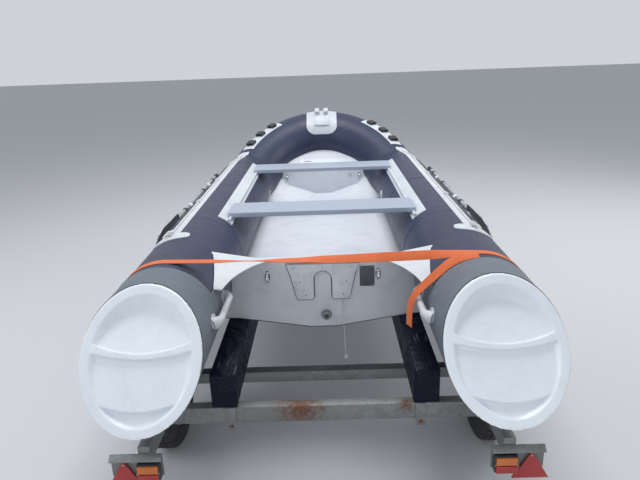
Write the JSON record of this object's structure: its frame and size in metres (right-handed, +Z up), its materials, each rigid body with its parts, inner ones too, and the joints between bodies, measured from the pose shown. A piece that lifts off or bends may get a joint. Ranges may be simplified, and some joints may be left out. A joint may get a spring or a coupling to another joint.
{
  "type": "inflatable rib boat on a road trailer",
  "caption": "Rigid-hull inflatable boat with grey collar, white end caps and two sliding benches, strapped on a single-axle road trailer.",
  "frame": {"origin": "middle of the bounding box's underside, on the floor under the trailer", "axes": "+Y to the bow and the tow coupling, +X to starboard, +Z up"},
  "size_m": [1.991, 5.2, 1.5023],
  "materials": {
    "collar_fabric": "satin, coated",
    "white_fabric": "satin, coated",
    "grey_fabric": "satin, coated",
    "cap_plastic": "gloss, moulded",
    "gelcoat": "gloss gelcoat",
    "bench_coating": "satin",
    "pad_plastic": "matt",
    "black_rubber": "matt",
    "bright_steel": "polished",
    "rope": "braided",
    "webbing": "woven",
    "oar_aluminium": "anodised",
    "galvanised": "galvanised",
    "bunk_wrap": "film wrapped",
    "tyre_rubber": "worn",
    "rim_paint": "satin",
    "lamp_red": "gloss",
    "reflector_red": "gloss"
  },
  "bodies": {
    "boat_and_trailer": {"axle": "galvanised", "bench_rails": "white_fabric", "blank_plate": "black_rubber", "bow_fairlead": "cap_plastic", "bow_locker": "gelcoat", "bow_stop": "black_rubber", "bunk_brackets": "galvanised", "bunks": "bunk_wrap", "carry_handles": "cap_plastic", "coupling": "galvanised", "crossbeams": "galvanised", "deck": "gelcoat", "drain_fitting": "black_rubber", "end_cap_left": "cap_plastic", "end_cap_right": "cap_plastic", "eyes": "bright_steel", "frame_left": "galvanised", "frame_right": "galvanised", "grip_patches": "white_fabric", "grips": "black_rubber", "hull": "gelcoat", "jockey_stem": "galvanised", "lamp_boards": "galvanised", "lamps": "lamp_red", "lifeline_strips": "white_fabric", "lifelines": "rope", "motor_pad": "pad_plastic", "mudguards": "galvanised", "oar_clips": "cap_plastic", "oar_left": "oar_aluminium", "oar_right": "oar_aluminium", "reflectors": "reflector_red", "rub_strakes": "white_fabric", "sleeve_left": "grey_fabric", "sleeve_right": "grey_fabric", "strap_hooks": "galvanised", "strap_tail": "webbing", "string_knot": "rope", "tie_strap": "webbing", "tie_string": "rope", "transom": "gelcoat", "transom_wings": "white_fabric", "tube_bow": "collar_fabric", "tube_left": "collar_fabric", "tube_right": "collar_fabric", "winch": "galvanised", "winch_post": "galvanised"},
    "wheel_left": {"tyre_left": "tyre_rubber", "rim_left": "rim_paint"},
    "wheel_right": {"tyre_right": "tyre_rubber", "rim_right": "rim_paint"},
    "jockey_fork": {"jockey_fork": "galvanised"},
    "jockey_wheel": {"jockey_wheel": "black_rubber"},
    "locker_lid": {"locker_lid": "gelcoat"},
    "bench_aft": {"bench_aft": "bench_coating"},
    "bench_fore": {"bench_fore": "bench_coating"}
  },
  "joints": [
    {"name": "wheel_left", "type": "hinge", "parent": "boat_and_trailer", "child": "wheel_left", "pos_m": [-0.862, -1.715, 0.28], "axis": [1, 0, 0], "continuous": true},
    {"name": "wheel_right", "type": "hinge", "parent": "boat_and_trailer", "child": "wheel_right", "pos_m": [0.862, -1.715, 0.28], "axis": [1, 0, 0], "continuous": true},
    {"name": "jockey_swivel", "type": "hinge", "parent": "boat_and_trailer", "child": "jockey_fork", "pos_m": [0.178, 2.04, 0.3], "axis": [0, 0, 1], "continuous": true},
    {"name": "jockey_roll", "type": "hinge", "parent": "jockey_fork", "child": "jockey_wheel", "pos_m": [0.178, 2, 0.1], "axis": [1, 0, 0], "continuous": true},
    {"name": "locker_lid", "type": "hinge", "parent": "boat_and_trailer", "child": "locker_lid", "pos_m": [0, 1.1701, 1.0523], "axis": [-1, 0, 0], "range_deg": [0, 80]},
    {"name": "bench_aft_slide", "type": "slide", "parent": "boat_and_trailer", "child": "bench_aft", "axis": [0, 1, 0], "range_m": [0, 1.05]},
    {"name": "bench_fore_slide", "type": "slide", "parent": "boat_and_trailer", "child": "bench_fore", "axis": [0, 1, 0], "range_m": [-1.05, 0]}
  ]
}
